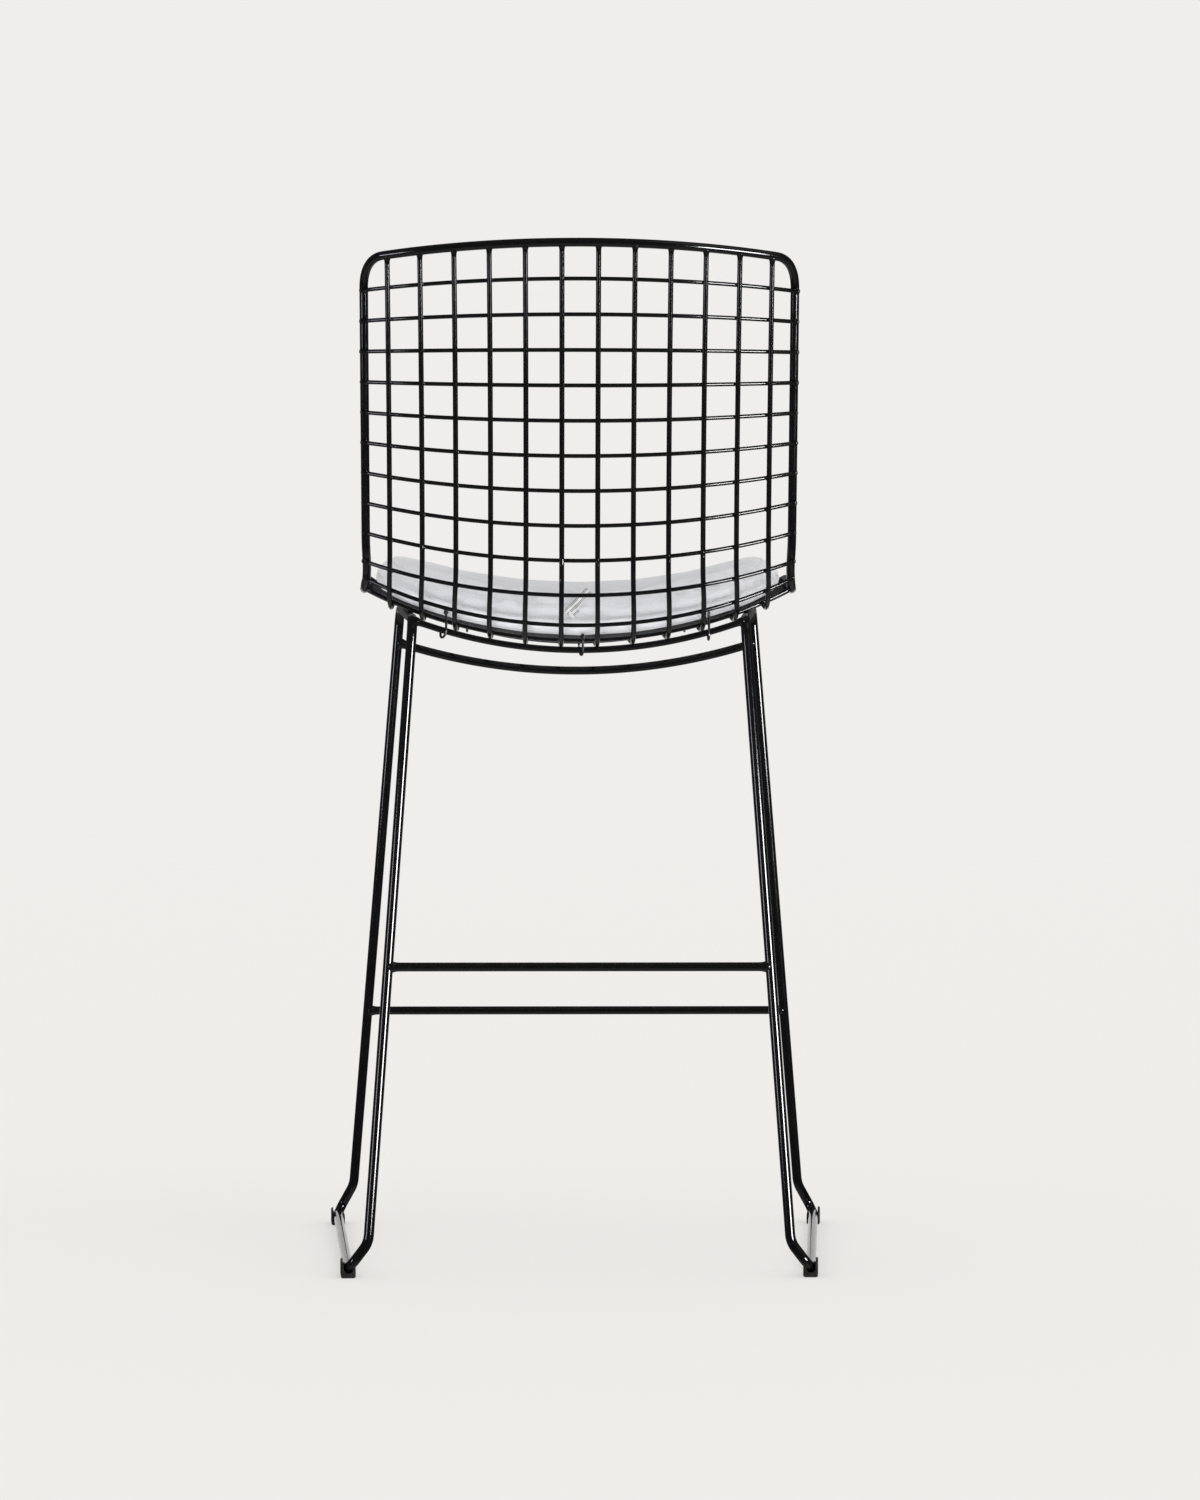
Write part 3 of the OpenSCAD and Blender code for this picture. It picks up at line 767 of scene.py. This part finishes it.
def pad_point(angle, reach, height, inset=0.0):
    """A point of the pad: how far round, how far out, how high, and how far inside the cover in mm."""
    out = reach - inset / PAD_REACH
    x, y = math.cos(angle), math.sin(angle)
    x = math.copysign(abs(x) ** PAD_SQUARE, x) * out
    y = math.copysign(abs(y) ** PAD_SQUARE, y) * out
    thick = mix(PAD_MID_T, PAD_EDGE_T, min(1, reach) ** 2)
    lift = mix(inset, thick - inset, height)
    return on_skin(PAD_MID_ROW + PAD_HALF_ROWS * y, PAD_SHARE * x, PAD_OFF + lift)


def pad_ring(reach, height, inset=0.0, count=240):
    return [pad_point(2 * math.pi * j / count, reach, height, inset) for j in range(count)]


def applied(piece):
    """Puts what the piece's modifiers make into its mesh."""
    dg = bpy.context.evaluated_depsgraph_get()
    mesh = bpy.data.meshes.new_from_object(piece.evaluated_get(dg))
    piece.modifiers.clear()
    piece.data = mesh
    return piece


def coords(mesh):
    co = np.zeros(len(mesh.vertices) * 3)
    mesh.vertices.foreach_get("co", co)
    return co.reshape(-1, 3)


def inflate(piece, held, pressure, cap, frames=20):
    """Cloth with air in it, held where the weights say, moved by no more than cap metres."""
    rest = coords(piece.data)
    group = piece.vertex_groups.new(name="held")
    for v, weight in enumerate(held):
        if weight > 0.01:
            group.add([v], float(weight), "REPLACE")
    cloth = piece.modifiers.new("cloth", "CLOTH")
    settings = cloth.settings
    settings.quality = 6
    settings.mass = 0.25
    settings.tension_stiffness = settings.compression_stiffness = 18
    settings.shear_stiffness = 8
    settings.bending_stiffness = 0.6
    settings.use_pressure = True
    settings.uniform_pressure_force = pressure
    settings.shrink_min = -0.035
    settings.vertex_group_mass = "held"
    settings.effector_weights.gravity = 0
    cloth.collision_settings.use_collision = False
    cloth.point_cache.frame_start, cloth.point_cache.frame_end = 1, frames
    scene = bpy.context.scene
    scene.frame_start, scene.frame_end = 1, frames
    for f in range(1, frames + 1):
        scene.frame_set(f)
    dg = bpy.context.evaluated_depsgraph_get()
    moved = coords(piece.evaluated_get(dg).data) - rest
    length = np.linalg.norm(moved, axis=1)
    moved *= np.minimum(1, cap / np.maximum(length, 1e-9))[:, None]
    piece.modifiers.remove(cloth)
    piece.vertex_groups.clear()
    scene.frame_set(1)
    piece.data.vertices.foreach_set("co", (rest + moved).ravel())
    piece.data.update()


SEAM = (1.0, 0.36)  # where the top cover meets the base cover, as reach and height
TOP_SEAM = (0.962, 0.93)


def make_pad():
    """The sewn pad: a closed form blown up as cloth, then seams and puckers."""
    start_inset = 3.0
    profile = PAD_BASE + PAD_TOP
    rings = [pad_ring(reach, height, start_inset, 120) for reach, height in profile[1:-1]]
    n = len(rings[0])
    verts = [p for ring in rings for p in ring]
    verts += [pad_point(0, 0, 0, start_inset), pad_point(0, 0, 1, start_inset)]
    faces = []
    for k in range(len(rings) - 1):
        for j in range(n):
            faces.append((k * n + j, k * n + (j + 1) % n, (k + 1) * n + (j + 1) % n, (k + 1) * n + j))
    last = (len(rings) - 1) * n
    for j in range(n):
        faces.append((len(verts) - 2, (j + 1) % n, j))
        faces.append((len(verts) - 1, last + j, last + (j + 1) % n))
    pad = new_piece("seat_pad", verts, faces, CLOTH, "cloth", ["pad_foam", "pad_cover_top", "pad_cover_base"])
    outward_normals(pad)
    remesh = pad.modifiers.new("even", "REMESH")
    remesh.mode, remesh.voxel_size = "VOXEL", 4.5 * MM
    applied(pad)

    seam, top_seam = ring_tree(*SEAM), ring_tree(*TOP_SEAM)
    co = coords(pad.data) / MM
    to_seam = np.array([seam.find(p)[2] for p in co])
    to_top_seam = np.array([top_seam.find(p)[2] for p in co])
    over_skin = above_skin(co)
    held = np.maximum(1 - to_seam / 7, 0.85 * (1 - to_top_seam / 7))
    held = np.maximum(held, np.where(over_skin < PAD_OFF + 5, 1.0, 0.0))
    inflate(pad, np.clip(held, 0, 1), 4.0, 8 * MM)
    smooth = pad.modifiers.new("soft", "SUBSURF")
    smooth.levels = smooth.render_levels = 1
    applied(pad)
    sew(pad, seam, top_seam)
    pad.data.polygons.foreach_set("use_smooth", [True] * len(pad.data.polygons))
    dress(pad, CLOTH)
    return pad


def ring_tree(reach, height, count=900):
    """A lookup of the points of one ring around the pad; an index is a place around it."""
    tree = KDTree(count)
    for j, p in enumerate(pad_ring(reach, height, 0, count)):
        tree.insert(p, j)
    tree.balance()
    return tree


def above_skin(points):
    """How far each point lies above the seat's surface, in mm."""
    samples, normals = [], []
    for i in np.arange(PAD_REAR_ROW - 1.5, FRONT_ROW + 0.01, 0.25):
        for u in np.linspace(-1, 1, 61):
            samples.append(skin(i, u))
            normals.append(skin_normal(i, u))
    tree = KDTree(len(samples))
    for k, p in enumerate(samples):
        tree.insert(p, k)
    tree.balance()
    out = np.zeros(len(points))
    for k, p in enumerate(points):
        at, index, _ = tree.find(p)
        out[k] = (np.array(p) - np.array(at)) @ normals[index]
    return out


def vertex_normals(mesh):
    out = np.zeros(len(mesh.vertices) * 3)
    mesh.vertex_normals.foreach_get("vector", out)
    return out.reshape(-1, 3)


def sew(pad, seam, top_seam):
    """Pulls the cloth in along the seams, and gathers it into small puckers beside them."""
    co = coords(pad.data)
    normals = vertex_normals(pad.data)
    for tree, depth, pucker, seed in ((seam, 2.2, 1.3, 3.1), (top_seam, 1.2, 0.4, 8.7)):
        for v in range(len(co)):
            p = co[v] / MM
            _, j, gap = tree.find(p)
            if gap > 26:
                continue
            groove = -depth * math.exp(-((gap / 1.9) ** 2))
            wave = noise.noise(Vector((j * 0.11, seed, 0.0)))
            wave += 0.6 * noise.noise(Vector((j * 0.31, seed, 4.0)))
            lean = noise.noise(Vector((p[0] * 0.05 + seed, p[1] * 0.05, p[2] * 0.05)))
            gather = pucker * (wave + 0.4 * lean) * math.exp(-gap / 6) * (1 - math.exp(-gap / 1.5))
            co[v] += normals[v] * (groove + 1.5 * gather) * MM
    # the slight unevenness of the filling
    for v in range(len(co)):
        p = co[v] / MM
        uneven = noise.noise(Vector((p[0] * 0.017, p[1] * 0.017, p[2] * 0.03)))
        co[v] += normals[v] * uneven * 0.5 * MM
    pad.data.vertices.foreach_set("co", co.ravel())
    pad.data.update()


def surface_of(piece):
    faces = [tuple(face.vertices) for face in piece.data.polygons]
    return BVHTree.FromPolygons([tuple(c) for c in coords(piece.data)], faces)


def stitch(at, along, out, length=3.0, r=0.32):
    """One stitch: a short thread that dips into the cloth at both ends."""
    path = []
    for k in range(7):
        t = k / 6 - 0.5
        path.append(at + along * length * t + out * (0.35 - 3.4 * t * t))
    return sweep(path, [r * 0.6, r, r, r, r, r, r * 0.6], 6)


def make_stitching(pad):
    """Stitches that follow the pad's final surface, a little above its seam and along its top edge."""
    bvh = surface_of(pad)
    parts = []
    for reach, height, spacing in ((1.0, 0.47, 4.4), (0.945, 0.97, 4.4)):
        ring = np.array(pad_ring(reach, height, 0, 900))
        steps = np.linalg.norm(np.roll(ring, -1, 0) - ring, axis=1)
        s = np.concatenate([[0], np.cumsum(steps)])
        loop = np.vstack([ring, ring[:1]])
        count = round(s[-1] / spacing)
        for k in range(count):
            d = s[-1] * k / count
            p = np.array([np.interp(d, s, loop[:, axis]) for axis in range(3)])
            q = np.array([np.interp((d + 1.0) % s[-1], s, loop[:, axis]) for axis in range(3)])
            at, out, _, _ = bvh.find_nearest(Vector(p * MM))
            out = unit(out)
            along = unit((q - p) - ((q - p) @ out) * out)
            parts.append(stitch(np.array(at) / MM, along, out))
    new_piece("pad_stitching", *merge(parts), THREAD, "cloth")


# ---------------------------------------------------------------- strap and hooks

HOOK_WIRE_R = 1.2
HOOK_EYE_R = 2.6
HOOK_TIP = 6


def rear_bearer_z(x):
    sag = REAR_BEARER_END[1] - REAR_BEARER_MID
    r = (REAR_BEARER_END[0] ** 2 + sag**2) / (2 * sag)
    return REAR_BEARER_MID + r - math.sqrt(r * r - x * x)


def make_hook(name, rod_at, rod_r, spin, lean, reach, drop):
    """A wire hook on a rod: an eye under the pad, a shank behind the rod, a bend under it and a short tip."""
    turn, tip_over = math.radians(spin), math.radians(lean)
    up = np.array((0, -math.sin(tip_over), math.cos(tip_over)))
    back = np.array((-math.sin(turn), math.cos(turn) * up[2], -math.cos(turn) * up[1]))
    base = np.array(rod_at, float) - up * drop
    shank = reach + drop
    bend_r = (rod_r + HOOK_WIRE_R + 0.2) / abs(math.cos(turn))
    bend = [base + bend_r * (back * math.cos(a) - up * math.sin(a)) for a in np.linspace(0, math.pi, 24)]
    shank_path = [base + back * bend_r + up * shank * k / 10 for k in range(10, 0, -1)]
    tip_path = [base - back * bend_r + up * HOOK_TIP * k / 5 for k in range(1, 6)]
    for k, p in enumerate(tip_path):  # the tip opens a little
        tip_path[k] = p - back * 0.12 * k * k
    wire = domed(shank_path + bend + tip_path, HOOK_WIRE_R, 14)
    eye_at = base + back * bend_r + up * (shank + HOOK_EYE_R)
    eye_path = [eye_at + HOOK_EYE_R * (back * math.cos(a) + up * math.sin(a))
                for a in np.linspace(0, 2 * math.pi, 28, endpoint=False)]
    eye = sweep(eye_path, HOOK_WIRE_R, 14, closed=True)
    new_piece(f"{name}_wire", *merge([wire, eye]), STEEL, "hook_steel", [name])


def make_hooks():
    for name, x, *turned in (
        ("rear_left_hook", 134, 32, 26, 16.2, 2),
        ("rear_middle_hook", -2, 20, -15, 11.4, 0),
        ("rear_right_hook", -128, 4, 24, 14.4, 3),
    ):
        make_hook(name, (x, REAR_BEARER_Y + SHIFT_Y, rear_bearer_z(x)), BEARER_R, *turned)
    for name, u in (("front_left_hook", 0.5), ("front_right_hook", -0.5)):
        make_hook(name, on_skin(FRONT_ROW, u, -UPRIGHT_R), RIM_R, 180, -40, 6.8, 2)


STRAP_W, STRAP_T = 13, 1.1
STRAP_LINES = (-5.4, -4.0, -0.7, 0.7, 4.0, 5.4)  # how far each woven line is from the strap's middle


def ribbon(path, across, width, thick):
    """A flat strap along path, closed and with soft edges."""
    section = []
    for k in range(12):
        a = 2 * math.pi * k / 12
        x = math.copysign(abs(math.cos(a)) ** 0.35, math.cos(a)) * width / 2
        section.append((x, math.sin(a) * thick / 2))
    path = np.asarray(path, float)
    tangents = np.gradient(path, axis=0)
    verts = []
    for p, t in zip(path, tangents):
        t = unit(t)
        side = unit(across - (across @ t) * t)
        out = np.cross(t, side)
        verts += [p + side * x + out * z for x, z in section]
    n = len(section)
    faces = [
        (k * n + j, k * n + (j + 1) % n, (k + 1) * n + (j + 1) % n, (k + 1) * n + j)
        for k in range(len(path) - 1)
        for j in range(n)
    ]
    faces += [tuple(reversed(range(n))), tuple(range((len(path) - 1) * n, len(path) * n))]
    return verts, faces


def make_strap(pad):
    """The woven strap end that lies on the pad's rear edge, slanting down to a fold at the seam."""
    bvh = surface_of(pad)
    low, high = (np.array(corner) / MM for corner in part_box("pad_strap"))
    centre = (low + high) / 2
    slant, across = unit((-1, 0, 1)), unit((1, 0, 1))

    def lying(along, aside, lift):
        start = centre + slant * along + across * aside
        at, out, _, _ = bvh.ray_cast(Vector((start[0], start[1] + 100, start[2])) * MM, Vector((0, -1, 0)))
        return np.array(at) / MM + np.array(out) * lift

    stations = np.linspace(-17.5, 15, 30)
    middle = np.array([lying(d, 0, STRAP_T) for d in stations])
    tapes = [ribbon(middle, across, STRAP_W, STRAP_T)]
    fold = [lying(-15.5 - 0.12 * abs(x), x, 1.5) for x in np.linspace(-8, 8, 14)]
    tapes.append(ribbon(fold, slant, 4.2, 0.9))
    strap = new_piece("strap_tape", *merge(tapes), TAPE, "strap", ["pad_strap"])
    outward_normals(strap)
    tangents = [unit(t) for t in np.gradient(middle, axis=0)]
    sides = [unit(across - (across @ t) * t) for t in tangents]
    outs = [n * np.sign(n[1]) for n in (np.cross(t, side) for t, side in zip(tangents, sides))]
    lines = []
    for aside in STRAP_LINES:
        path = [p + side * aside + n * 0.5 for p, side, n in zip(middle, sides, outs)]
        lines.append(sweep(path, 0.38, 6))
    new_piece("strap_lines", *merge(lines), STRAP_THREAD, "strap")


# ---------------------------------------------------------------- studio

SENSOR = 36  # mm
LENS = 86.736  # mm


def make_camera():
    """A level camera behind the stool, at half its height."""
    camera = bpy.data.objects.new("camera", bpy.data.cameras.new("camera"))
    bpy.context.scene.collection.objects.link(camera)
    camera.data.sensor_width = SENSOR
    camera.data.lens = LENS
    at = Vector((0.036, 3.686, 0.512))
    yaw = math.radians(-0.91)
    camera.location = at
    camera.rotation_euler = (math.pi / 2, 0, math.pi + yaw)
    bpy.context.scene.camera = camera


def strip_light(name, angle, distance, low, high, width, power, colour):
    """A tall light that only shines in reflections, angle degrees from +Y towards +X, facing the stool."""
    data = bpy.data.lights.new(name, "AREA")
    data.shape = "RECTANGLE"
    data.size, data.size_y = width, high - low
    data.energy = power
    data.color = colour
    light = bpy.data.objects.new(name, data)
    bpy.context.scene.collection.objects.link(light)
    turn = math.radians(angle)
    light.location = (math.sin(turn) * distance, math.cos(turn) * distance, (low + high) / 2)
    towards = Vector((-math.sin(turn), -math.cos(turn), 0))
    light.rotation_euler = towards.to_track_quat("-Z", "Y").to_euler()
    light.visible_diffuse = False
    light.visible_camera = False
    return light


BACKDROP = (0.863, 0.855, 0.840)


def make_world():
    """An even pale room. Reflections see it darker on the side that the stool's back faces."""
    world = bpy.data.worlds.new("studio")
    bpy.context.scene.world = world
    world.use_nodes = True
    tree = world.node_tree
    tree.nodes.clear()
    even = node(tree, "ShaderNodeBackground", {"Color": (*BACKDROP, 1), "Strength": 1.0})
    way = node(tree, "ShaderNodeTexCoord").outputs["Generated"]
    _, y, z = node(tree, "ShaderNodeSeparateXYZ", {0: way}).outputs
    behind = ramp(tree, y, 0.15, -0.35, 0.02, 0.1)
    above = ramp(tree, z, 0.45, 0.8, 0.0, 0.12)
    below = ramp(tree, z, -0.5, -0.7, 0.0, 0.45)
    level = maths(tree, "MAXIMUM", maths(tree, "MAXIMUM", behind, above), below)
    seen = node(tree, "ShaderNodeBackground", {"Color": (*BACKDROP, 1), "Strength": level})
    glossy = node(tree, "ShaderNodeLightPath").outputs["Is Glossy Ray"]
    both = node(tree, "ShaderNodeMixShader", {0: glossy, 1: even.outputs[0], 2: seen.outputs[0]})
    node(tree, "ShaderNodeOutputWorld", {"Surface": both.outputs[0]})


def make_floor():
    """A wide pale floor that fades into the room far away."""
    mesh = bpy.data.meshes.new("floor")
    work = bmesh.new()
    bmesh.ops.create_circle(work, cap_ends=True, radius=60, segments=96)
    work.to_mesh(mesh)
    work.free()
    floor = bpy.data.objects.new("floor", mesh)
    bpy.context.scene.collection.objects.link(floor)
    material, tree, where = start_material("floor_paper")
    grain = noise_at(tree, where, 900, 3)
    colour = mix_colour(tree, grain, (0.936, 0.928, 0.912, 1), (0.94, 0.932, 0.916, 1))
    paper = node(tree, "ShaderNodeBsdfDiffuse", {"Color": colour})
    clear = node(tree, "ShaderNodeBsdfTransparent")
    away = node(tree, "ShaderNodeVectorMath", {0: where}, operation="LENGTH").outputs["Value"]
    fade = ramp(tree, away, 2.5, 20)
    glow = node(tree, "ShaderNodeEmission", {"Color": (*BACKDROP, 1), "Strength": 1.0})
    lit = node(tree, "ShaderNodeMixShader", {0: 0.5, 1: paper.outputs[0], 2: glow.outputs[0]})
    both = node(tree, "ShaderNodeMixShader", {0: fade, 1: lit.outputs[0], 2: clear.outputs[0]})
    node(tree, "ShaderNodeOutputMaterial", {"Surface": both.outputs[0]})
    mesh.materials.append(material)
    floor.visible_glossy = False


def make_lights():
    strip_light("strong_strip", -43, 5.0, 0.0, 1.4, 1.7, 620, (0.98, 0.98, 1.0))
    strip_light("weak_strip", 54, 5.0, 0.0, 1.3, 1.0, 70, (0.88, 0.88, 1.0))
    strip_light("far_wall", 180, 3.0, -0.45, 0.55, 2.6, 6, (1.0, 0.99, 0.98))
    fill = bpy.data.objects.new("fill", bpy.data.lights.new("fill", "AREA"))
    fill.data.shape = "RECTANGLE"
    fill.data.size, fill.data.size_y = 1.2, 0.3
    fill.data.energy = 2.0
    fill.data.spread = math.radians(50)
    fill.location = (0.2, 1.7, 0.1)
    fill.rotation_euler = (Vector((0, 0, 0.66)) - fill.location).to_track_quat("-Z", "Y").to_euler()
    fill.visible_glossy = False
    fill.visible_camera = False
    bpy.context.scene.collection.objects.link(fill)
    sun = bpy.data.objects.new("window", bpy.data.lights.new("window", "SUN"))
    sun.data.energy = 0.22
    sun.data.angle = math.radians(35)
    sun.rotation_euler = Vector((0.55, -0.35, -0.8)).to_track_quat("-Z", "Y").to_euler()
    bpy.context.scene.collection.objects.link(sun)


make_camera()
make_world()
make_floor()
make_lights()
make_rim()
make_uprights()
make_cross_wires()
make_welds()
make_side_frames()
make_bars()
make_glides()
seat_pad = make_pad()
make_stitching(seat_pad)
make_strap(seat_pad)
make_hooks()

view = bpy.context.scene.view_settings
view.view_transform = "Standard"
view.look = "None"
